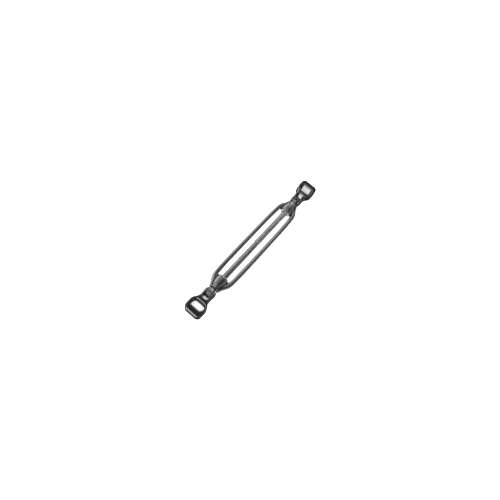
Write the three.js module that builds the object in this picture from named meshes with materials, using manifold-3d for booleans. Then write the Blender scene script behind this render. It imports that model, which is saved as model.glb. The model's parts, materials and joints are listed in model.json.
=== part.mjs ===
// Open-body rigging turnbuckle, M8, both ends fitted with a pinned bow link.
// Millimetres. X runs along the thread axis, Y across the frame, Z is up.
// The origin is on the thread axis, halfway between the two hubs.
import * as THREE from 'three';
import Module from 'manifold-3d';
import { mergeVertices } from 'three/addons/utils/BufferGeometryUtils.js';

const wasm = await Module();
wasm.setup();

// Thread and studs
const THREAD_R = 4;
const STUD_GAP = 0.5;
const STUD_CHAMFER = 0.8;
const NECK_X = 90;
const NECK_END_X = 95;
const NECK_END_R = 5.4;
const EYE_R = 6.5;
const EYE_HALF = 3.9;

// Hubs
const HUB_IN_X = 69.5;
const HUB_TAPER_X = 78;
const HUB_OUT_X = 89.5;
const HUB_R = 8;
const HUB_MID_X = 84.5;
const HUB_MID_R = 7.1;
const HUB_TIP_R = 5.7;
const HUB_LIP_X = 71.9;
const HUB_LIP_R = 6.9;
const BORE_R = 4.3;
const MOUTH_R = 5;

// Side bars: half of the centre line as X, Y; the other half mirrors it
const BAR_R = 3.4;
const BAR_CROWN_Y = 13.85;
const BAR_LINE = [
  [30, 13.8],
  [55, 13.5],
  [64, 13.2],
  [70, 12.75],
  [75, 11.5],
  [79, 9.5],
  [83, 7.2],
  [86.5, 5.7],
  [90, 4.7],
];
const BAR_END_X = 90.4;
const WELD_GAP = 0.3;
const SEAT_END_X = 92;

// Bow links
const LINK_HALF_Z = 8;
const LINK_BEVEL = 1.2;
const PIN_X = 98.5;
const EAR_R = 6.5;
const EAR_IN_Y = 4.2;
const EAR_OUT_Y = 7.6;
const CROTCH_X = 110;
const CROTCH_R = 2.1;
const SHOULDER_X = 107.5;
const SWELL_X = 109.5;
const SWELL_EASE = 4;
const BOW_X = 121.5;
const BOW_OUT_Y = 13.2;
const CROWN_OUT_X = 135;
const CROWN_OUT_R = 6;
const HOLE_IN_X = 115.5;
const HOLE_WIDE_X = 120.5;
const HOLE_OUT_X = 126;
const HOLE_HALF_Y = 9.2;
const HOLE_NECK_Y = 4;
const HOLE_CORNER_R = 3.5;

// Link pins
const PIN_R = 3;
const PIN_HOLE_R = 3.3;
const PIN_HEAD_R = 4;
const PIN_HEAD_H = 0.6;
const PIN_HEAD_GAP = 0.3;
const PIN_HEAD_CHAMFER = 0.3;

// Fineness of the round shapes, and how far a cutting shape runs past what it cuts
const ROUND = 40;
const COARSE = 8;
const BAR_STEPS = 60;
const BEVEL_STEPS = 2;
const BEYOND = 20;
const QUARTER = Math.PI / 2;

function solid(geometry) {
  const bare = geometry.index ? geometry.toNonIndexed() : geometry.clone();
  bare.deleteAttribute('normal');
  bare.deleteAttribute('uv');
  const merged = mergeVertices(bare, 1e-5);
  return new wasm.Manifold(
    new wasm.Mesh({
      numProp: 3,
      vertProperties: new Float32Array(merged.attributes.position.array),
      triVerts: new Uint32Array(merged.index.array),
    }),
  );
}

function node(name, body, colour) {
  const { vertProperties, triVerts } = body.getMesh();
  const geometry = new THREE.BufferGeometry();
  geometry.setAttribute('position', new THREE.BufferAttribute(vertProperties, 3));
  geometry.setIndex(new THREE.BufferAttribute(triVerts, 1));
  geometry.computeVertexNormals();
  const material = new THREE.MeshStandardMaterial({ color: colour, metalness: 1, roughness: 0.2 });
  material.name = name;
  const mesh = new THREE.Mesh(geometry, material);
  mesh.name = name;
  return mesh;
}

// A body of revolution about X from points given as [x, radius].
function turned(points) {
  const profile = points.map(([x, r]) => new THREE.Vector2(r, x));
  const lathe = new THREE.LatheGeometry(profile, ROUND);
  lathe.rotateZ(-QUARTER);
  return solid(lathe);
}

// A cylinder along Y through (x, 0).
function across(x, radius, halfLength) {
  const cylinder = new THREE.CylinderGeometry(radius, radius, 2 * halfLength, ROUND);
  cylinder.translate(x, 0, 0);
  return solid(cylinder);
}

function box(x0, x1, halfY, halfZ) {
  const block = new THREE.BoxGeometry(x1 - x0, 2 * halfY, 2 * halfZ);
  block.translate((x0 + x1) / 2, 0, 0);
  return solid(block);
}

function mirrored(body) {
  return body.mirror([1, 0, 0]);
}

// The hub's outline from its inner face out to endX, grown by grow all round.
function hubProfile(grow, endX) {
  return [
    [HUB_IN_X - grow, 0],
    [HUB_IN_X - grow, HUB_LIP_R + grow],
    [HUB_LIP_X, HUB_R + grow],
    [HUB_TAPER_X, HUB_R + grow],
    [HUB_MID_X, HUB_MID_R + grow],
    [HUB_OUT_X, HUB_TIP_R + grow],
    [endX, HUB_TIP_R + grow],
    [endX, 0],
  ];
}

function hub() {
  const bore = turned([
    [HUB_IN_X - BEYOND, 0],
    [HUB_IN_X - BEYOND, BORE_R],
    [HUB_OUT_X + BEYOND, BORE_R],
    [HUB_OUT_X + BEYOND, 0],
  ]);
  const mouthDepth = MOUTH_R - BORE_R;
  const mouth = turned([
    [HUB_IN_X - mouthDepth, 0],
    [HUB_IN_X - mouthDepth, MOUTH_R + mouthDepth],
    [HUB_IN_X + mouthDepth, BORE_R],
    [HUB_IN_X + mouthDepth, 0],
  ]);
  return turned(hubProfile(0, HUB_OUT_X)).subtract(bore).subtract(mouth);
}

function sideBar(side) {
  const half = BAR_LINE.map(([x, y]) => new THREE.Vector3(x, side * y, 0));
  const other = half.map((p) => new THREE.Vector3(-p.x, p.y, 0)).reverse();
  const middle = new THREE.Vector3(0, side * BAR_CROWN_Y, 0);
  const path = new THREE.CatmullRomCurve3([...other, middle, ...half]);
  const section = new THREE.Shape().absarc(0, 0, BAR_R, 0, 2 * Math.PI);
  const sweep = new THREE.ExtrudeGeometry(section, {
    steps: BAR_STEPS,
    curveSegments: COARSE,
    extrudePath: path,
    bevelEnabled: false,
  });
  const keep = box(-BAR_END_X, BAR_END_X, BEYOND, BEYOND);
  const seat = turned(hubProfile(WELD_GAP, SEAT_END_X));
  return solid(sweep).intersect(keep).subtract(seat).subtract(mirrored(seat));
}

function stud() {
  const shank = turned([
    [STUD_GAP, 0],
    [STUD_GAP, THREAD_R - STUD_CHAMFER],
    [STUD_GAP + STUD_CHAMFER, THREAD_R],
    [NECK_X, THREAD_R],
    [NECK_END_X, NECK_END_R],
    [PIN_X, NECK_END_R],
    [PIN_X, 0],
  ]);
  const eye = across(PIN_X, EYE_R, EYE_HALF);
  const slab = box(NECK_X, PIN_X + BEYOND, EYE_HALF, BEYOND);
  const rod = box(0, NECK_X, BEYOND, BEYOND);
  const blank = shank.intersect(slab.add(rod)).add(eye);
  return blank.subtract(across(PIN_X, PIN_HOLE_R, BEYOND));
}

function bowOutline() {
  const shape = new THREE.Shape();
  const bend = (BOW_X - SHOULDER_X) / 2;
  shape.moveTo(PIN_X - BEYOND, EAR_IN_Y);
  shape.lineTo(CROTCH_X - CROTCH_R, EAR_IN_Y);
  shape.quadraticCurveTo(CROTCH_X, EAR_IN_Y, CROTCH_X, EAR_IN_Y - CROTCH_R);
  shape.lineTo(CROTCH_X, -EAR_IN_Y + CROTCH_R);
  shape.quadraticCurveTo(CROTCH_X, -EAR_IN_Y, CROTCH_X - CROTCH_R, -EAR_IN_Y);
  shape.lineTo(PIN_X - BEYOND, -EAR_IN_Y);
  shape.lineTo(PIN_X - BEYOND, -EAR_OUT_Y);
  shape.lineTo(SHOULDER_X, -EAR_OUT_Y);
  shape.bezierCurveTo(SHOULDER_X + bend, -EAR_OUT_Y, BOW_X - bend, -BOW_OUT_Y, BOW_X, -BOW_OUT_Y);
  shape.lineTo(CROWN_OUT_X - CROWN_OUT_R, -BOW_OUT_Y);
  shape.absarc(CROWN_OUT_X - CROWN_OUT_R, -BOW_OUT_Y + CROWN_OUT_R, CROWN_OUT_R, -QUARTER, 0);
  shape.lineTo(CROWN_OUT_X, BOW_OUT_Y - CROWN_OUT_R);
  shape.absarc(CROWN_OUT_X - CROWN_OUT_R, BOW_OUT_Y - CROWN_OUT_R, CROWN_OUT_R, 0, QUARTER);
  shape.lineTo(BOW_X, BOW_OUT_Y);
  shape.bezierCurveTo(BOW_X - bend, BOW_OUT_Y, SHOULDER_X + bend, EAR_OUT_Y, SHOULDER_X, EAR_OUT_Y);
  shape.lineTo(PIN_X - BEYOND, EAR_OUT_Y);
  shape.closePath();
  shape.holes.push(bowHole());
  return shape;
}

function bowHole() {
  const hole = new THREE.Path();
  const cornerX = HOLE_OUT_X - HOLE_CORNER_R;
  const cornerY = HOLE_HALF_Y - HOLE_CORNER_R;
  hole.moveTo(HOLE_IN_X, -HOLE_NECK_Y);
  hole.lineTo(HOLE_IN_X, HOLE_NECK_Y);
  hole.quadraticCurveTo(HOLE_IN_X, HOLE_HALF_Y, HOLE_WIDE_X, HOLE_HALF_Y);
  hole.lineTo(cornerX, HOLE_HALF_Y);
  hole.absarc(cornerX, cornerY, HOLE_CORNER_R, QUARTER, 0, true);
  hole.lineTo(HOLE_OUT_X, -cornerY);
  hole.absarc(cornerX, -cornerY, HOLE_CORNER_R, 0, -QUARTER, true);
  hole.lineTo(HOLE_WIDE_X, -HOLE_HALF_Y);
  hole.quadraticCurveTo(HOLE_IN_X, -HOLE_HALF_Y, HOLE_IN_X, -HOLE_NECK_Y);
  return hole;
}

// Seen from the side, the ears are rounded about the pin and swell to the bow's full depth.
function linkSide() {
  const easeIn = PIN_X + SWELL_EASE;
  const easeOut = SWELL_X - SWELL_EASE;
  const side = new THREE.Shape();
  side.moveTo(PIN_X, -EAR_R);
  side.bezierCurveTo(easeIn, -EAR_R, easeOut, -LINK_HALF_Z, SWELL_X, -LINK_HALF_Z);
  side.lineTo(CROWN_OUT_X + BEYOND, -LINK_HALF_Z);
  side.lineTo(CROWN_OUT_X + BEYOND, LINK_HALF_Z);
  side.lineTo(SWELL_X, LINK_HALF_Z);
  side.bezierCurveTo(easeOut, LINK_HALF_Z, easeIn, EAR_R, PIN_X, EAR_R);
  side.absarc(PIN_X, 0, EAR_R, QUARTER, 3 * QUARTER);
  const plate = new THREE.ExtrudeGeometry(side, {
    depth: 2 * BEYOND,
    curveSegments: COARSE,
    bevelEnabled: false,
  });
  plate.translate(0, 0, -BEYOND);
  plate.rotateX(QUARTER);
  return solid(plate);
}

function link() {
  const plate = new THREE.ExtrudeGeometry(bowOutline(), {
    depth: 2 * (LINK_HALF_Z - LINK_BEVEL),
    curveSegments: COARSE,
    bevelSize: LINK_BEVEL,
    bevelThickness: LINK_BEVEL,
    bevelOffset: -LINK_BEVEL,
    bevelSegments: BEVEL_STEPS,
  });
  plate.translate(0, 0, LINK_BEVEL - LINK_HALF_Z);
  return solid(plate).intersect(linkSide()).subtract(across(PIN_X, PIN_HOLE_R, BEYOND));
}

function linkPin() {
  const under = EAR_OUT_Y + PIN_HEAD_GAP;
  const top = under + PIN_HEAD_H;
  const profile = [
    [0, -top],
    [PIN_HEAD_R - PIN_HEAD_CHAMFER, -top],
    [PIN_HEAD_R, -top + PIN_HEAD_CHAMFER],
    [PIN_HEAD_R, -under],
    [PIN_R, -under],
    [PIN_R, under],
    [PIN_HEAD_R, under],
    [PIN_HEAD_R, top - PIN_HEAD_CHAMFER],
    [PIN_HEAD_R - PIN_HEAD_CHAMFER, top],
    [0, top],
  ];
  const lathe = new THREE.LatheGeometry(profile.map(([r, y]) => new THREE.Vector2(r, y)), ROUND);
  lathe.translate(PIN_X, 0, 0);
  return solid(lathe);
}

const hubBody = hub();
const studBody = stud();
const linkBody = link();
const pinBody = linkPin();

const group = new THREE.Group();
group.name = 'rigging_turnbuckle';
group.add(
  node('left_hub', mirrored(hubBody), 0xa9abae),
  node('right_hub', hubBody, 0xa9abae),
  node('front_side_bar', sideBar(-1), 0xc2c4c7),
  node('rear_side_bar', sideBar(1), 0xc2c4c7),
  node('left_stud', mirrored(studBody), 0xb4b6b8),
  node('right_stud', studBody, 0xb4b6b8),
  node('left_link', mirrored(linkBody), 0xbcbec1),
  node('right_link', linkBody, 0xbcbec1),
  node('left_link_pin', mirrored(pinBody), 0x97999c),
  node('right_link_pin', pinBody, 0x97999c),
);

export default group;
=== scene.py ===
import json
import math

import bmesh
import bpy
import numpy as np
from mathutils import Matrix, Vector


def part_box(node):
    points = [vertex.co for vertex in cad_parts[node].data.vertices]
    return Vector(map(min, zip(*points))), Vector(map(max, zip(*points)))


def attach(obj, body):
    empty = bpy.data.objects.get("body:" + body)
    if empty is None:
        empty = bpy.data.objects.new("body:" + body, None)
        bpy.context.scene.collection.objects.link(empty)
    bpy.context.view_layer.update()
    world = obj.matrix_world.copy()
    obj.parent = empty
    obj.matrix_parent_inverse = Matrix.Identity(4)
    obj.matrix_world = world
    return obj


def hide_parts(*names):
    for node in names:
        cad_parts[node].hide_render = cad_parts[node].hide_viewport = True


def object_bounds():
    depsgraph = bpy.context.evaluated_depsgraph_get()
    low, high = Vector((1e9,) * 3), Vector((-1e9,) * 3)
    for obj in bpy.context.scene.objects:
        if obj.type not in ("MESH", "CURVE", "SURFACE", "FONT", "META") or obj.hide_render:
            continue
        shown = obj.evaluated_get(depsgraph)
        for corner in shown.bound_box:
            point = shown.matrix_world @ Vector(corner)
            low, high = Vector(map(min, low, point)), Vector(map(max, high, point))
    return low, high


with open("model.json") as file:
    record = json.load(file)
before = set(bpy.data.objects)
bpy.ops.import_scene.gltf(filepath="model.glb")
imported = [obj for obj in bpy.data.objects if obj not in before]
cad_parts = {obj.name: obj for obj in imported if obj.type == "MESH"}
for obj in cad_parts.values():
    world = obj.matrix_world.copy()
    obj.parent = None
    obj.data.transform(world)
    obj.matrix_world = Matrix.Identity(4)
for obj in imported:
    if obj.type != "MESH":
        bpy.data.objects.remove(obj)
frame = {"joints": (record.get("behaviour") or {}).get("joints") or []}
CAD_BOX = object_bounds()
MM = 0.001

# ---------------------------------------------------------------- sizes, from the frame, in millimetres
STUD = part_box("right_stud")
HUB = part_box("right_hub")
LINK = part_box("right_link")
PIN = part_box("right_link_pin")
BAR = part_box("rear_side_bar")
JOINTS = {j["name"]: j for j in frame["joints"]}
PIN_X = JOINTS["right_link_swing"]["pos_m"][0] / MM

EYE_R = STUD[1].z / MM
EYE_HALF = 3.9
STUD_IN_X = STUD[0].x / MM
NECK_X = 90.0
THREAD_R = 4.0
THREAD_ROOT_R = 3.24
THREAD_PITCH = 1.25

HUB_IN_X = HUB[0].x / MM
HUB_OUT_X = HUB[1].x / MM
HUB_R = HUB[1].z / MM
HUB_TAPER_X = 78.0
HUB_MID_X = 84.5
HUB_MID_R = 7.1
HUB_TIP_R = 5.7
HUB_LIP_X = 71.9
HUB_LIP_R = 6.9
HUB_BORE_R = 4.12

BAR_R = BAR[1].z / MM
BAR_CROWN_Y = BAR[1].y / MM - BAR_R
BAR_END_X = BAR[1].x / MM
BAR_LINE = [
    (30, 13.8),
    (55, 13.5),
    (64, 13.2),
    (70, 12.75),
    (75, 11.5),
    (79, 9.5),
    (83, 7.2),
    (86.5, 5.7),
    (90, 4.7),
]

LINK_HALF_Z = LINK[1].z / MM
EAR_R = 6.5
EAR_IN_Y = 4.2
EAR_OUT_Y = 7.6
CROTCH_X = 110.0
SHOULDER_X = 107.5
SWELL_X = 109.5
SWELL_EASE = 4.0
BOW_X = 121.5
BOW_OUT_Y = LINK[1].y / MM
CROWN_OUT_X = LINK[1].x / MM
CROWN_OUT_R = 6.0
HOLE_IN_X = 115.5
HOLE_WIDE_X = 120.5
HOLE_OUT_X = 126.0
HOLE_HALF_Y = 9.2
HOLE_NECK_Y = 4.0
HOLE_CORNER_R = 3.5

PIN_R = 3.0
PIN_HOLE_R = 3.3
PIN_END_Y = PIN[1].y / MM
PIN_HEAD_R = 4.0


# ---------------------------------------------------------------- camera
CAMERA_FROM = Vector((-0.4305, -0.12, 0.89)).normalized()
CAMERA_PIVOT = Vector((0.0039, 0, 0))
CAMERA_DISTANCE = 0.5515
CAMERA_AIM = Vector((-0.0132, 0, 0))
AXIS_SLOPE = math.radians(46.87)
LENS = 28
SENSOR = 36


def make_camera():
    data = bpy.data.cameras.new("camera")
    data.lens = LENS
    data.sensor_width = SENSOR
    camera = bpy.data.objects.new("camera", data)
    bpy.context.scene.collection.objects.link(camera)
    camera.location = CAMERA_PIVOT + CAMERA_FROM * CAMERA_DISTANCE
    back = (camera.location - CAMERA_AIM).normalized()
    along = (Vector((1, 0, 0)) - back * back.x).normalized()
    across = back.cross(along)
    right = along * math.cos(AXIS_SLOPE) - across * math.sin(AXIS_SLOPE)
    up = along * math.sin(AXIS_SLOPE) + across * math.cos(AXIS_SLOPE)
    turn = Matrix((right, up, back)).transposed()
    camera.rotation_mode = "QUATERNION"
    camera.rotation_quaternion = turn.to_quaternion()
    bpy.context.scene.camera = camera


make_camera()


# ---------------------------------------------------------------- materials
class Nodes:
    """A short way to write a material's node tree."""

    def __init__(self, name):
        self.material = bpy.data.materials.new(name)
        self.material.use_nodes = True
        self.tree = self.material.node_tree
        self.shader = self.tree.nodes["Principled BSDF"]
        self.place = self.add("ShaderNodeTexCoord").outputs["Object"]

    def add(self, kind, **values):
        node = self.tree.nodes.new(kind)
        for key, value in values.items():
            setattr(node, key, value)
        return node

    def link(self, source, target):
        self.tree.links.new(source, target)

    def stretched(self, scale):
        mapping = self.add("ShaderNodeMapping")
        mapping.inputs["Scale"].default_value = scale
        self.link(self.place, mapping.inputs["Vector"])
        return mapping.outputs["Vector"]

    def noise(self, scale, detail=3.0, stretch=(1, 1, 1), roughness=0.5):
        node = self.add("ShaderNodeTexNoise")
        node.inputs["Scale"].default_value = scale
        node.inputs["Detail"].default_value = detail
        node.inputs["Roughness"].default_value = roughness
        self.link(self.stretched(stretch), node.inputs["Vector"])
        return node.outputs["Fac"]

    def ramp(self, factor, stops):
        node = self.add("ShaderNodeValToRGB")
        ramp = node.color_ramp
        while len(ramp.elements) < len(stops):
            ramp.elements.new(0.5)
        for element, (position, colour) in zip(ramp.elements, stops):
            element.position = position
            element.color = (*colour, 1)
        self.link(factor, node.inputs["Fac"])
        return node.outputs["Color"]

    def spread(self, factor, low, high, start=0.3, stop=0.7):
        node = self.add("ShaderNodeMapRange")
        node.inputs["From Min"].default_value = start
        node.inputs["From Max"].default_value = stop
        node.inputs["To Min"].default_value = low
        node.inputs["To Max"].default_value = high
        self.link(factor, node.inputs["Value"])
        return node.outputs["Result"]

    def maths(self, operation, a, b=0.0):
        node = self.add("ShaderNodeMath", operation=operation)
        for socket, value in zip(node.inputs, (a, b)):
            if isinstance(value, (int, float)):
                socket.default_value = value
            else:
                self.link(value, socket)
        return node.outputs["Value"]

    def bump(self, height, distance, strength=1.0, under=None):
        node = self.add("ShaderNodeBump")
        node.inputs["Distance"].default_value = distance
        node.inputs["Strength"].default_value = strength
        self.link(height, node.inputs["Height"])
        if under is not None:
            self.link(under, node.inputs["Normal"])
        return node.outputs["Normal"]


METAL_IOR = 2.5
CLOUD_SCALE = 160
CLOUD_SHADE = 0.93
MARK_SCALE = 2200
MARK_SHARE = 0.45
MARK_DEPTH = 0.0000012
PATCH_SCALE = 300
WAVE_SCALE = 110
WAVINESS = 0.000012
ROUGH_RANGE = (0.45, 0.95)


def steel(name, tone, rough, grain, waviness=WAVINESS):
    """Polished stainless steel: tone is its colour, set lighter or darker by some callers as painted
    highlight or painted shade, rough its lowest and highest roughness, and grain the stretch of the fine
    polishing marks, long in the direction they run."""
    m = Nodes(name)
    m.shader.inputs["Metallic"].default_value = 1.0
    m.shader.inputs["IOR"].default_value = METAL_IOR
    cloud = m.noise(CLOUD_SCALE, detail=4)
    dark = tuple(CLOUD_SHADE * c for c in tone)
    m.link(m.ramp(cloud, [(0.35, dark), (0.65, tone)]), m.shader.inputs["Base Color"])
    marks = m.noise(MARK_SCALE, detail=2, stretch=grain)
    patches = m.noise(PATCH_SCALE, detail=4, roughness=0.65)
    mixed = m.maths("MULTIPLY_ADD", marks, MARK_SHARE)
    m.link(patches, mixed.node.inputs[2])
    m.link(m.spread(mixed, *rough, *ROUGH_RANGE), m.shader.inputs["Roughness"])
    wave = m.bump(m.noise(WAVE_SCALE, detail=1), waviness)
    fine = m.bump(marks, MARK_DEPTH, under=wave)
    m.link(fine, m.shader.inputs["Normal"])
    return m


def bar_steel():
    return steel("bar_steel", (0.66, 0.66, 0.65), (0.05, 0.17), (0.05, 1, 1)).material


def hub_steel():
    return steel("hub_steel", (0.44, 0.44, 0.435), (0.30, 0.45), (1, 0.06, 0.06)).material


# Painted shade: the links are a darker copy of the frame's polished steel.
def link_steel_painted_shade():
    return steel("link_steel_painted_shade", (0.35, 0.35, 0.355), (0.06, 0.16), (0.3, 1, 1), 0.00003).material


def pin_steel():
    return steel("pin_steel", (0.58, 0.58, 0.58), (0.12, 0.28), (1, 0.1, 1)).material


# Painted shade: the stud's eye, which sits in the link's slot, is a much darker copy of the stud's steel.
def eye_steel_painted_shade():
    return steel("eye_steel_painted_shade", (0.30, 0.30, 0.30), (0.16, 0.30), (0.3, 1, 1), 0.00003).material


# Painted shade: the weld beads fill the crotch where each bar meets a hub, and their near-black tone
# paints the shade in that crotch.
def weld_steel_painted_shade():
    return steel("weld_steel_painted_shade", (0.09, 0.085, 0.08), (0.35, 0.55), (1, 1, 1), 0.00005).material


# Painted shade: the thread's roots blend to this darker tone between radius 3.8 mm and 3.2 mm.
ROOT_PAINTED_SHADE = (0.55, 0.54, 0.52, 1)
ROOT_SHADE_RADII = (3.2 * MM, 3.8 * MM)


def thread_steel_painted_light():
    """Rolled thread in a much lighter copy of the steel, a painted highlight for the rod's bright centre;
    its roots blend to a darker tone, painted shade in the thread grooves.
    """
    # Painted highlight: this tone is far lighter than the eye's on the same stud.
    m = steel("thread_steel_painted_light", (0.93, 0.93, 0.92), (0.12, 0.26), (1, 0.1, 0.1))
    parts = m.add("ShaderNodeSeparateXYZ")
    m.link(m.place, parts.inputs["Vector"])
    y2 = m.maths("MULTIPLY", parts.outputs["Y"], parts.outputs["Y"])
    z2 = m.maths("MULTIPLY", parts.outputs["Z"], parts.outputs["Z"])
    radius = m.maths("SQRT", m.maths("ADD", y2, z2))
    root_shade_fade = m.spread(radius, 0.0, 1.0, *ROOT_SHADE_RADII)
    root_shade_mix = m.add("ShaderNodeMix", data_type="RGBA")
    root_shade_mix.inputs["A"].default_value = ROOT_PAINTED_SHADE
    m.link(m.shader.inputs["Base Color"].links[0].from_socket, root_shade_mix.inputs["B"])
    m.link(root_shade_fade, root_shade_mix.inputs["Factor"])
    m.link(root_shade_mix.outputs["Result"], m.shader.inputs["Base Color"])
    return m.material


STEEL = {
    "bar": bar_steel(),
    "hub": hub_steel(),
    "link": link_steel_painted_shade(),
    "pin": pin_steel(),
    "eye": eye_steel_painted_shade(),
    "weld": weld_steel_painted_shade(),
    "thread": thread_steel_painted_light(),
}


# ---------------------------------------------------------------- mesh helpers
def piece(name, points, faces, steel_name, slot, body, mirror=False, sharp=None):
    """A finished mesh object from points in millimetres. A mirrored piece is reflected in X."""
    points = np.array(points, float) * MM
    if mirror:
        points[:, 0] *= -1
        faces = [tuple(reversed(f)) for f in faces]
    mesh = bpy.data.meshes.new(name)
    mesh.from_pydata(points.tolist(), [], [tuple(int(i) for i in f) for f in faces])
    clean(mesh)
    mesh.polygons.foreach_set("use_smooth", [True] * len(mesh.polygons))
    if sharp is not None:
        mesh.set_sharp_from_angle(angle=math.radians(sharp))
    mesh.materials.append(STEEL[steel_name])
    thing = bpy.data.objects.new(name, mesh)
    bpy.context.scene.collection.objects.link(thing)
    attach(thing, body)
    return thing


MERGE_DISTANCE = 1e-7


def clean(mesh):
    """Merges doubled points, drops faces with no area and turns every face outward."""
    work = bmesh.new()
    work.from_mesh(mesh)
    bmesh.ops.remove_doubles(work, verts=work.verts, dist=MERGE_DISTANCE)
    bmesh.ops.dissolve_degenerate(work, edges=work.edges, dist=MERGE_DISTANCE)
    bmesh.ops.recalc_face_normals(work, faces=work.faces)
    work.to_mesh(mesh)
    work.free()


def grid_faces(rows, columns):
    """Quads of a grid of rows by columns points, closed round each row."""
    faces = []
    for i in range(rows - 1):
        for j in range(columns):
            k = (j + 1) % columns
            faces.append((i * columns + j, i * columns + k, (i + 1) * columns + k, (i + 1) * columns + j))
    return faces


def capped_faces(rows, columns):
    """The quads of a grid closed round each row, with a face over each end."""
    last = (rows - 1) * columns
    return [*grid_faces(rows, columns), tuple(range(columns)), tuple(last + j for j in range(columns))]


def lathe(profile, columns):
    """Points and faces of a body of revolution about X. The profile closes on itself."""
    points = []
    for x, r in profile:
        for j in range(columns):
            a = 2 * math.pi * j / columns
            points.append((x, r * math.cos(a), r * math.sin(a)))
    rows = len(profile)
    faces = grid_faces(rows, columns)
    for j in range(columns):
        k = (j + 1) % columns
        faces.append(((rows - 1) * columns + j, (rows - 1) * columns + k, k, j))
    return points, faces


def rounded(corners, radii, steps=6, closed=True):
    """The corners of a polyline, each replaced with an arc of its own radius."""
    out = []
    count = len(corners)
    for i, (corner, radius) in enumerate(zip(corners, radii)):
        p = Vector(corner)
        if radius == 0 or (not closed and i in (0, count - 1)):
            out.append(tuple(p))
            continue
        before = (Vector(corners[i - 1]) - p).normalized()
        after = (Vector(corners[(i + 1) % count]) - p).normalized()
        half = before.angle(after) / 2
        reach = radius / math.tan(half)
        centre = p + (before + after).normalized() * (radius / math.sin(half))
        start = p + before * reach - centre
        stop = p + after * reach - centre
        sweep = start.angle_signed(stop)
        for k in range(steps + 1):
            turn = Matrix.Rotation(-sweep * k / steps, 2)
            out.append(tuple(centre + turn @ start))
    return out


def sweep(path, section, columns):
    """Points and faces of a tube. section(i, angle) gives the radius at path point i."""
    path = [Vector(p) for p in path]
    points = []
    side = None
    for i, p in enumerate(path):
        ahead = (path[min(i + 1, len(path) - 1)] - path[max(i - 1, 0)]).normalized()
        if side is None:
            side = ahead.cross(Vector((0, 0, 1)))
        side = (side - ahead * side.dot(ahead)).normalized()
        lift = side.cross(ahead)
        for j in range(columns):
            a = 2 * math.pi * j / columns
            r = section(i, a)
            points.append(p + side * (r * math.cos(a)) + lift * (r * math.sin(a)))
    return points, capped_faces(len(path), columns)


# ---------------------------------------------------------------- signed distances, in millimetres
def outline_distance(x, y, corners):
    """Signed distance from (x, y) to a closed polygon, negative inside."""
    best = np.full(np.broadcast(x, y).shape, np.inf)
    inside = np.zeros(best.shape, bool)
    for (ax, ay), (bx, by) in zip(corners, corners[1:] + corners[:1]):
        ex, ey = bx - ax, by - ay
        px, py = x - ax, y - ay
        t = np.clip((px * ex + py * ey) / (ex * ex + ey * ey), 0, 1)
        best = np.minimum(best, (px - t * ex) ** 2 + (py - t * ey) ** 2)
        if ay != by:
            crosses = ((ay > y) != (by > y)) & (x < ax + (y - ay) * ex / ey)
            inside = inside ^ crosses
    return np.where(inside, -1, 1) * np.sqrt(best)


def both(a, b, radius):
    """Where both shapes are, with the edge between them rounded to radius."""
    u, v = np.maximum(radius + a, 0), np.maximum(radius + b, 0)
    return np.minimum(-radius, np.maximum(a, b)) + np.sqrt(u * u + v * v)


def either(a, b, radius):
    """Where either shape is, with the corner between them filled to radius."""
    u, v = np.maximum(radius - a, 0), np.maximum(radius - b, 0)
    return np.maximum(radius, np.minimum(a, b)) - np.sqrt(u * u + v * v)


def bezier(p0, p1, p2, p3, steps=10):
    """Points along a cubic curve, without its first."""
    points = [np.array(p, float) for p in (p0, p1, p2, p3)]
    out = []
    for k in range(1, steps + 1):
        t = k / steps
        weights = ((1 - t) ** 3, 3 * t * (1 - t) ** 2, 3 * t * t * (1 - t), t**3)
        out.append(tuple(sum(w * p for w, p in zip(weights, points))))
    return out


def arc(cx, cy, radius, start, stop, steps=8):
    """Points along an arc, from start to stop degrees."""
    turns = (math.radians(start + (stop - start) * k / steps) for k in range(steps + 1))
    return [(cx + radius * math.cos(a), cy + radius * math.sin(a)) for a in turns]


def skin(distance, low, high, step):
    """Points and quads on the surface where distance(x, y, z) is zero, inside the box low to high."""
    axes = [np.arange(a, b + step, step) for a, b in zip(low, high)]
    x, y, z = axes[0][:, None, None], axes[1][None, :, None], axes[2][None, None, :]
    field = np.broadcast_to(distance(x, y, z), [len(a) for a in axes]).astype(float)
    cells = [n - 1 for n in field.shape]
    total = np.zeros((*cells, 3))
    count = np.zeros(cells)
    edges = []
    for axis in range(3):
        first = np.take(field, range(field.shape[axis] - 1), axis)
        second = np.take(field, range(1, field.shape[axis]), axis)
        where = np.argwhere((first < 0) != (second < 0))
        a, b = first[tuple(where.T)], second[tuple(where.T)]
        crossing = where.astype(float)
        crossing[:, axis] += a / (a - b)
        u, v = (axis + 1) % 3, (axis + 2) % 3
        around = []
        for du, dv in ((0, 0), (-1, 0), (-1, -1), (0, -1)):
            cell = where.copy()
            cell[:, u] += du
            cell[:, v] += dv
            np.add.at(total, tuple(cell.T), crossing)
            np.add.at(count, tuple(cell.T), 1)
            around.append(cell)
        edges.append((around, a < 0))
    used = count > 0
    number = np.full(cells, -1)
    number[used] = np.arange(used.sum())
    points = np.array(low) + step * total[used] / count[used][:, None]
    faces = []
    for around, forward in edges:
        quads = np.stack([number[tuple(c.T)] for c in around], 1)
        quads[~forward] = quads[~forward][:, ::-1]
        faces.extend(map(tuple, quads))
    return settle(distance, points, step), faces


SETTLE_ROUNDS = 4
NUDGE_SHARE = 0.02
LEAST_SLOPE = 0.25


def settle(distance, points, step):
    """Moves points onto the surface where distance is zero."""
    nudge = NUDGE_SHARE * step
    for _ in range(SETTLE_ROUNDS):
        x, y, z = points.T
        here = distance(x, y, z)
        slope = np.stack([
            distance(x + nudge, y, z) - distance(x - nudge, y, z),
            distance(x, y + nudge, z) - distance(x, y - nudge, z),
            distance(x, y, z + nudge) - distance(x, y, z - nudge),
        ], 1) / (2 * nudge)
        size = np.maximum((slope * slope).sum(1), LEAST_SLOPE)
        points = points - slope * (here / size)[:, None]
    return points


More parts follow.
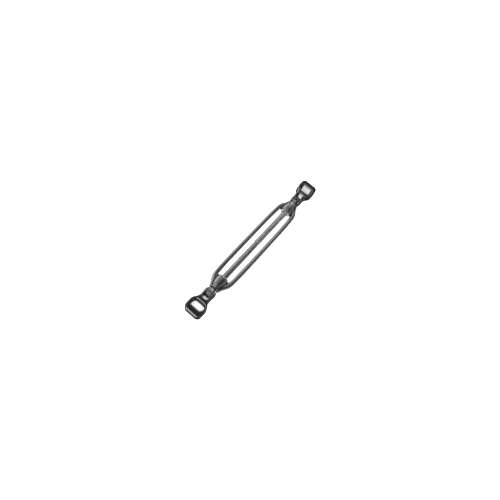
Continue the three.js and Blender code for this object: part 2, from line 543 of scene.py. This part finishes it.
# ---------------------------------------------------------------- studs
THREAD_SHAPE = [
    (0.0, 1.0),
    (0.125, 1.0),
    (0.17, 0.91),
    (0.39, 0.17),
    (0.4375, 0.05),
    (0.5625, 0.0),
    (0.6875, 0.05),
    (0.735, 0.17),
    (0.955, 0.91),
]
THREAD_COLUMNS = 48
THREAD_END_CHAMFER = 0.9
THREAD_RUNOUT = 2.5


def thread_limit(x):
    """The largest radius at x: the chamfered tip, then the full thread."""
    return min(THREAD_R, THREAD_R - THREAD_END_CHAMFER + (x - STUD_IN_X))


def thread_floor(x):
    """The smallest radius at x: the root, which rises to the plain shank at the run-out."""
    rise = (x - (NECK_X - THREAD_RUNOUT)) / THREAD_RUNOUT
    return THREAD_ROOT_R + (THREAD_R - THREAD_ROOT_R) * min(max(rise, 0), 1)


def threaded_rod():
    """Points of the stud's rod with a right-hand thread. Its mirror image has a left-hand one."""
    turns = int((NECK_X - STUD_IN_X) / THREAD_PITCH) + 3
    rows = [(k + phase, height) for k in range(-1, turns) for phase, height in THREAD_SHAPE]
    points = []
    for along, height in rows:
        for j in range(THREAD_COLUMNS):
            a = 2 * math.pi * j / THREAD_COLUMNS
            lead = j / THREAD_COLUMNS
            x = STUD_IN_X + (along - lead) * THREAD_PITCH
            x = min(max(x, STUD_IN_X), NECK_X)
            low = thread_floor(x)
            r = min(low + (THREAD_R - low) * height, thread_limit(x))
            points.append((x, r * math.cos(a), r * math.sin(a)))
    return points, rows


NECK_SLOPE = 0.27
NECK_INSET = 0.2
NECK_FILLET = 3.0
EYE_EDGE_R = 0.7
EYE_ROOT_FILLET = 0.8
EYE_START_SLOPE = 0.5
EYE_START_LENGTH = 5
PIN_HOLE_EDGE_R = 0.5
ROD_OVERLAP = 2


def eye_distance(x, y, z):
    """The forged neck and flat eye of the right stud."""
    radius = np.sqrt(y * y + z * z)
    ring = np.sqrt((x - PIN_X) ** 2 + z * z) - EYE_R
    rod = np.maximum(radius - THREAD_R, x - PIN_X)
    neck_side = np.abs(z) - (THREAD_R - NECK_INSET + NECK_SLOPE * np.maximum(x - NECK_X, 0))
    neck = np.maximum(neck_side, np.abs(x - (NECK_X + PIN_X) / 2) - (PIN_X - NECK_X) / 2)
    flat = np.abs(y) - EYE_HALF
    plate = both(either(ring, neck, NECK_FILLET), flat, EYE_EDGE_R)
    start = radius - (THREAD_R + EYE_START_SLOPE * (x - NECK_X))
    plate = np.where(x < NECK_X + EYE_START_LENGTH, np.maximum(plate, start), plate)
    solid = either(plate, rod, EYE_ROOT_FILLET)
    hole = PIN_HOLE_R - np.sqrt((x - PIN_X) ** 2 + z * z)
    return both(np.maximum(solid, NECK_X - ROD_OVERLAP - x), hole, PIN_HOLE_EDGE_R)


# ---------------------------------------------------------------- links
PAST_EAR = 2
EAR_STEPS = 12


def bow_outline():
    """The link's outline seen from above, before its hole and slot."""
    bend = (BOW_X - SHOULDER_X) / 2
    lower = [(PIN_X - EAR_R - PAST_EAR, -EAR_OUT_Y), (SHOULDER_X, -EAR_OUT_Y)]
    lower += bezier(
        lower[-1],
        (SHOULDER_X + bend, -EAR_OUT_Y),
        (BOW_X - bend, -BOW_OUT_Y),
        (BOW_X, -BOW_OUT_Y),
    )
    lower += arc(CROWN_OUT_X - CROWN_OUT_R, -BOW_OUT_Y + CROWN_OUT_R, CROWN_OUT_R, -90, 0)
    return lower + [(x, -y) for x, y in reversed(lower)]


def hole_outline():
    """The outline of the hole through the bow."""
    rise = HOLE_HALF_Y - HOLE_NECK_Y
    reach = HOLE_WIDE_X - HOLE_IN_X
    lower = [(HOLE_IN_X, -HOLE_NECK_Y)]
    lower += bezier(
        lower[0],
        (HOLE_IN_X, -HOLE_NECK_Y - 2 * rise / 3),
        (HOLE_WIDE_X - 2 * reach / 3, -HOLE_HALF_Y),
        (HOLE_WIDE_X, -HOLE_HALF_Y),
    )
    lower += arc(HOLE_OUT_X - HOLE_CORNER_R, -HOLE_HALF_Y + HOLE_CORNER_R, HOLE_CORNER_R, -90, 0)
    return lower + [(x, -y) for x, y in reversed(lower)]


def link_side_outline():
    """The link's outline seen from the side: ears round the pin, then the bow's full depth."""
    ease_in, ease_out = PIN_X + SWELL_EASE, SWELL_X - SWELL_EASE
    far = CROWN_OUT_X + EAR_R
    lower = arc(PIN_X, 0, EAR_R, 180, 270, EAR_STEPS)
    lower += bezier(lower[-1], (ease_in, -EAR_R), (ease_out, -LINK_HALF_Z), (SWELL_X, -LINK_HALF_Z))
    lower += [(far, -LINK_HALF_Z)]
    return lower + [(x, -z) for x, z in reversed(lower[1:])]


BOW = bow_outline()
HOLE = hole_outline()
SIDE = link_side_outline()
LINK_EDGE_R = 2.0
HOLE_EDGE_R = 1.7
SLOT_EDGE_R = 0.7
SLOT_CORNER_R = 2.1


def slot_distance(x, y):
    """The fork's gap, square to the pin with round corners at the crotch."""
    return both(np.abs(y) - EAR_IN_Y, x - CROTCH_X, SLOT_CORNER_R)


def link_distance(x, y, z):
    """The right link: its two outlines crossed, less the hole, the slot and the pin hole."""
    body = both(outline_distance(x, y, BOW), outline_distance(x, z, SIDE), LINK_EDGE_R)
    body = both(body, -outline_distance(x, y, HOLE), HOLE_EDGE_R)
    body = both(body, -slot_distance(x, y), SLOT_EDGE_R)
    pin_hole = PIN_HOLE_R - np.sqrt((x - PIN_X) ** 2 + z * z)
    return both(body, pin_hole, PIN_HOLE_EDGE_R)


# ---------------------------------------------------------------- hubs and bars
def hub_radius(x):
    """The hub's outside radius at x."""
    knots = [HUB_IN_X, HUB_TAPER_X, HUB_MID_X, HUB_OUT_X]
    return float(np.interp(x, knots, [HUB_R, HUB_R, HUB_MID_R, HUB_TIP_R]))


HUB_MOUTH = 0.8
HUB_EXIT = 0.3
HUB_COLUMNS = 128
HUB_EDGE_RADII = [0.1, 0.4, 0.8, 5, 6, 0.5, 0.05, 0.05, 0.1]


def hub_mesh():
    """The right hub, turned about X, with chamfers where the stud goes in and comes out."""
    corners = [
        (HUB_IN_X, HUB_BORE_R + HUB_MOUTH),
        (HUB_IN_X, HUB_LIP_R),
        (HUB_LIP_X, HUB_R),
        (HUB_TAPER_X, HUB_R),
        (HUB_MID_X, HUB_MID_R),
        (HUB_OUT_X, HUB_TIP_R),
        (HUB_OUT_X, HUB_BORE_R + HUB_EXIT),
        (HUB_OUT_X - HUB_EXIT, HUB_BORE_R),
        (HUB_IN_X + HUB_MOUTH, HUB_BORE_R),
    ]
    return lathe(rounded(corners, HUB_EDGE_RADII), HUB_COLUMNS)


def bar_centre(x):
    """The bar's centre line: its distance from the axis at x, as a smooth curve through BAR_LINE."""
    return float(BAR_CURVE(abs(x)))


def smooth_curve(knots):
    """A curve through the knots with a continuous slope, as a function of x."""
    xs = np.array([k[0] for k in knots], float)
    ys = np.array([k[1] for k in knots], float)
    slopes = np.gradient(ys, xs)
    slopes[0] = 0

    def at(x):
        i = int(np.clip(np.searchsorted(xs, x) - 1, 0, len(xs) - 2))
        width = xs[i + 1] - xs[i]
        t = (x - xs[i]) / width
        from_y = (2 * t**3 - 3 * t**2 + 1) * ys[i]
        from_slope = (t**3 - 2 * t**2 + t) * width * slopes[i]
        to_y = (3 * t**2 - 2 * t**3) * ys[i + 1]
        to_slope = (t**3 - t**2) * width * slopes[i + 1]
        return from_y + from_slope + to_y + to_slope

    return at


BAR_CURVE = smooth_curve([(0, BAR_CROWN_Y), *BAR_LINE])
BAR_COLUMNS = 48
BAR_HALF_ROWS = 150
BAR_END_ROUND = 1.6
BAR_END_DROP = 0.9
SEAT_R = 4.9
SEAT_START = 2


def bar_mesh(side):
    """A side bar: round, its ends rounded over, and pushed clear of the studs inside the hubs."""
    rows = range(-BAR_HALF_ROWS, BAR_HALF_ROWS + 1)
    xs = [BAR_END_X * k / BAR_HALF_ROWS for k in rows]
    path = [(x, side * bar_centre(x), 0) for x in xs]

    def section(i, a):
        left = BAR_END_X - abs(xs[i])
        ease = 1 - max(0, 1 - left / BAR_END_ROUND)
        return BAR_R - BAR_END_DROP * (1 - math.sqrt(1 - (1 - ease) ** 2))

    points, faces = sweep(path, section, BAR_COLUMNS)
    seated = []
    for p in points:
        r = math.hypot(p.y, p.z)
        inner = SEAT_R if abs(p.x) > HUB_IN_X + SEAT_START else 0
        if r < inner:
            scale = inner / max(r, 1e-6)
            p = Vector((p.x, p.y * scale, p.z * scale))
        seated.append(tuple(p))
    return seated, faces


WELD_R = 1.15
WELD_RIPPLE = 0.09
WELD_PITCH = 1.0
WELD_STEP = 0.25
WELD_COLUMNS = 20
WELD_SMOOTHINGS = 12
WELD_TIP = 0.35
WELD_TAPER = 2.5
WELD_OUT_X = HUB_OUT_X - 0.6
WELD_IN_X = HUB_IN_X + 1.2
SEAM_IN_X = HUB_IN_X + 1
CROTCH_STEP = 0.2
CROTCH_LIFT = 0.45
SEAM_STEPS = 400
RIPPLE_MEAN = 0.6


def weld_path(side):
    """The line where a bar meets the right hub: out along one side, round the crotch and back."""
    one = []
    for x in np.linspace(WELD_OUT_X, SEAM_IN_X, SEAM_STEPS):
        y, r = bar_centre(x), hub_radius(x)
        across = (y * y + r * r - BAR_R * BAR_R) / (2 * y)
        if across >= r:
            break
        one.append((x, across, math.sqrt(r * r - across * across)))
    for x in np.arange(one[-1][0] - CROTCH_STEP, WELD_IN_X, -CROTCH_STEP):
        one.append((x, (HUB_R + bar_centre(x) - BAR_R) / 2, CROTCH_LIFT))
    whole = one + [(x, y, -z) for x, y, z in reversed(one)]
    return even_steps([(x, side * y, z) for x, y, z in whole], WELD_STEP)


def even_steps(path, step):
    """The same path with points a step apart."""
    path = np.array(path)
    gaps = np.linalg.norm(np.diff(path, axis=0), axis=1)
    along = np.concatenate([[0], np.cumsum(gaps)])
    wanted = np.linspace(0, along[-1], int(along[-1] / step) + 1)
    return np.stack([np.interp(wanted, along, path[:, k]) for k in range(3)], 1)


def weld_mesh(side):
    """A rippled weld bead that thins out at both ends."""
    smooth = weld_path(side)
    for _ in range(WELD_SMOOTHINGS):
        smooth[1:-1] = (smooth[:-2] + 2 * smooth[1:-1] + smooth[2:]) / 4
    length = WELD_STEP * (len(smooth) - 1)

    def section(i, a):
        along = WELD_STEP * i
        ends = min(along, length - along)
        taper = min(1, WELD_TIP + ends / WELD_TAPER)
        ripple = WELD_RIPPLE * (abs(math.sin(math.pi * along / WELD_PITCH)) - RIPPLE_MEAN)
        return (WELD_R + ripple) * taper

    return sweep([tuple(p) for p in smooth], section, WELD_COLUMNS)


# ---------------------------------------------------------------- pins
PIN_COLUMNS = 64
PIN_DOME = [
    (EAR_OUT_Y, PIN_R),
    (EAR_OUT_Y, PIN_HEAD_R - 0.3),
    (EAR_OUT_Y + 0.25, PIN_HEAD_R),
    (PIN_END_Y - 0.25, 3.3),
    (PIN_END_Y - 0.06, 2.2),
    (PIN_END_Y, 1.0),
]


def pin_mesh():
    """A pin with both ends riveted over into low domes."""
    profile = [(-y, r) for y, r in reversed(PIN_DOME)] + PIN_DOME
    points = []
    for y, r in profile:
        for j in range(PIN_COLUMNS):
            a = 2 * math.pi * j / PIN_COLUMNS
            points.append((PIN_X + r * math.cos(a), y, r * math.sin(a)))
    return points, capped_faces(len(profile), PIN_COLUMNS)


# ---------------------------------------------------------------- build
SKIN_STEP = 0.32


def build_studs():
    eye = skin(eye_distance, (NECK_X - 3, -5, -8), (PIN_X + EYE_R + 1, 5, 8), SKIN_STEP)
    for side, mirror in (("left", True), ("right", False)):
        body = side + "_end"
        points, rows = threaded_rod()
        faces = capped_faces(len(rows), THREAD_COLUMNS)
        rod = piece(side + "_stud_thread", points, faces, "thread", "stud", body, mirror, sharp=35)
        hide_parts(side + "_stud")
        piece(side + "_stud_eye", *eye, "eye", "stud", body, mirror)


def build_links():
    low = (PIN_X - EAR_R - 1, -BOW_OUT_Y - 1, -LINK_HALF_Z - 1)
    high = (CROWN_OUT_X + 1, BOW_OUT_Y + 1, LINK_HALF_Z + 1)
    shape = skin(link_distance, low, high, SKIN_STEP)
    pin = pin_mesh()
    for side, mirror in (("left", True), ("right", False)):
        body = side + "_toggle"
        link = piece(side + "_bow_link", *shape, "link", "link", body, mirror)
        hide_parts(side + "_link")
        rivet = piece(side + "_pin", *pin, "pin", "pin", body, mirror, sharp=40)
        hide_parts(side + "_link_pin")


def build_frame():
    hub = hub_mesh()
    for side, mirror, body in (("left", True, "hub_carriage"), ("right", False, "frame")):
        boss = piece(side + "_boss", *hub, "hub", "hub", body, mirror, sharp=40)
        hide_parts(side + "_hub")
    for name, side in (("front", -1), ("rear", 1)):
        bar = piece(name + "_bar", *bar_mesh(side), "bar", "frame_bar", "frame", sharp=50)
        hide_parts(name + "_side_bar")
        for end, mirror in (("left", True), ("right", False)):
            piece(f"{name}_{end}_weld", *weld_mesh(side), "weld", "hub", "frame", mirror)


build_frame()
build_studs()
build_links()


# ---------------------------------------------------------------- floor and light
def floor_material():
    m = Nodes("floor_white")
    m.shader.inputs["Roughness"].default_value = 0.6
    m.shader.inputs["Specular IOR Level"].default_value = 0.2
    tone = m.ramp(m.noise(8, detail=2), [(0.3, (0.90, 0.90, 0.90)), (0.7, (0.92, 0.92, 0.92))])
    m.link(tone, m.shader.inputs["Base Color"])
    m.shader.inputs["Emission Color"].default_value = (1, 1, 1, 1)
    m.shader.inputs["Emission Strength"].default_value = 0.35
    return m.material


FLAT_REACH = 2.4
SWEEP_R = 1.2
SWEEP_STEPS = 16
WALL_TOP = 4.0
FLOOR_CENTRE_R = 0.001
FLOOR_COLUMNS = 96


def make_floor():
    """A round floor that sweeps up into a wall. The metal sees the cards of make_sky in its place."""
    low = CAD_BOX[0].z
    profile = [(FLOOR_CENTRE_R, low), (FLAT_REACH / 2, low), (FLAT_REACH, low)]
    for k in range(1, SWEEP_STEPS + 1):
        a = math.pi / 2 * k / SWEEP_STEPS
        profile.append((FLAT_REACH + SWEEP_R * math.sin(a), low + SWEEP_R * (1 - math.cos(a))))
    profile.append((FLAT_REACH + SWEEP_R, WALL_TOP))
    turns = [2 * math.pi * j / FLOOR_COLUMNS for j in range(FLOOR_COLUMNS)]
    points = [(r * math.cos(a), r * math.sin(a), z) for r, z in profile for a in turns]
    faces = grid_faces(len(profile), FLOOR_COLUMNS)
    faces.append(tuple(range(FLOOR_COLUMNS)))
    mesh = bpy.data.meshes.new("floor")
    mesh.from_pydata(points, [], faces)
    clean(mesh)
    mesh.polygons.foreach_set("use_smooth", [True] * len(mesh.polygons))
    mesh.materials.append(floor_material())
    floor = bpy.data.objects.new("floor", mesh)
    bpy.context.scene.collection.objects.link(floor)
    floor.visible_glossy = False
    floor.visible_shadow = False


OVERHEAD_SIZE = 5.0
OVERHEAD_POWER = 210
OVERHEAD_Z = 2.5


def make_overhead():
    """A large soft light that whitens the floor. The metal doesn't see it, only the cards of make_sky."""
    data = bpy.data.lights.new("overhead", "AREA")
    data.shape = "DISK"
    data.size = OVERHEAD_SIZE
    data.energy = OVERHEAD_POWER
    light = bpy.data.objects.new("overhead", data)
    light.location = (0, 0, OVERHEAD_Z)
    light.visible_glossy = False
    bpy.context.scene.collection.objects.link(light)


# The studio as the metal sees it: each card has a direction, a reach in degrees and a brightness.
CARDS = [
    ((-0.45, 0.75, 0.5), 43, 0.5),
    ((0.5, 0.8, 0.35), 40, 0.28),
    ((0.43, 0.12, 0.9), 7, 0.8),
    ((-0.5, 0.1, 0.85), 16, 0.9),
    ((-1.0, 0.0, 0.0), 25, 1.2),
    ((0.92, 0.13, 0.28), 20, 1.3),
    ((0.4, 0.9, -0.12), 24, 1.6),
    ((-0.62, 0.1, -0.78), 18, 2.0),
]
CARD_EDGE = (1.25, 0.75)
ROOM_LEVEL = 0.05
BELT_LEVEL = 0.35
BELT_LOW = (-0.65, -0.45)
BELT_HIGH = (0.15, 0.35)


def make_sky():
    """A dim room, paler near the horizon, with soft bright cards round the object."""
    world = bpy.data.worlds.new("studio")
    bpy.context.scene.world = world
    world.use_nodes = True
    tree = world.node_tree
    back = tree.nodes["Background"]
    place = tree.nodes.new("ShaderNodeTexCoord").outputs["Generated"]

    def soft_step(value, low, high, top):
        step = tree.nodes.new("ShaderNodeMapRange")
        step.interpolation_type = "SMOOTHSTEP"
        step.inputs["From Min"].default_value = low
        step.inputs["From Max"].default_value = high
        step.inputs["To Max"].default_value = top
        tree.links.new(value, step.inputs["Value"])
        return step.outputs["Result"]

    def maths(operation, a, b):
        node = tree.nodes.new("ShaderNodeMath")
        node.operation = operation
        tree.links.new(a, node.inputs[0])
        if isinstance(b, float):
            node.inputs[1].default_value = b
        else:
            tree.links.new(b, node.inputs[1])
        return node.outputs["Value"]

    total = None
    for direction, reach, level in CARDS:
        dot = tree.nodes.new("ShaderNodeVectorMath")
        dot.operation = "DOT_PRODUCT"
        tree.links.new(place, dot.inputs[0])
        dot.inputs[1].default_value = Vector(direction).normalized()
        edges = [math.cos(math.radians(reach * k)) for k in CARD_EDGE]
        card = soft_step(dot.outputs["Value"], *edges, level)
        total = card if total is None else maths("MAXIMUM", total, card)
    parts = tree.nodes.new("ShaderNodeSeparateXYZ")
    tree.links.new(place, parts.inputs["Vector"])
    below = soft_step(parts.outputs["Z"], *BELT_LOW, BELT_LEVEL)
    above = soft_step(parts.outputs["Z"], *BELT_HIGH, BELT_LEVEL)
    total = maths("MAXIMUM", total, maths("SUBTRACT", below, above))
    light = maths("ADD", total, ROOM_LEVEL)
    tree.links.new(light, back.inputs["Color"])
    back.inputs["Strength"].default_value = 1.0


make_overhead()
make_floor()
make_sky()
bpy.context.scene.view_settings.view_transform = "Standard"
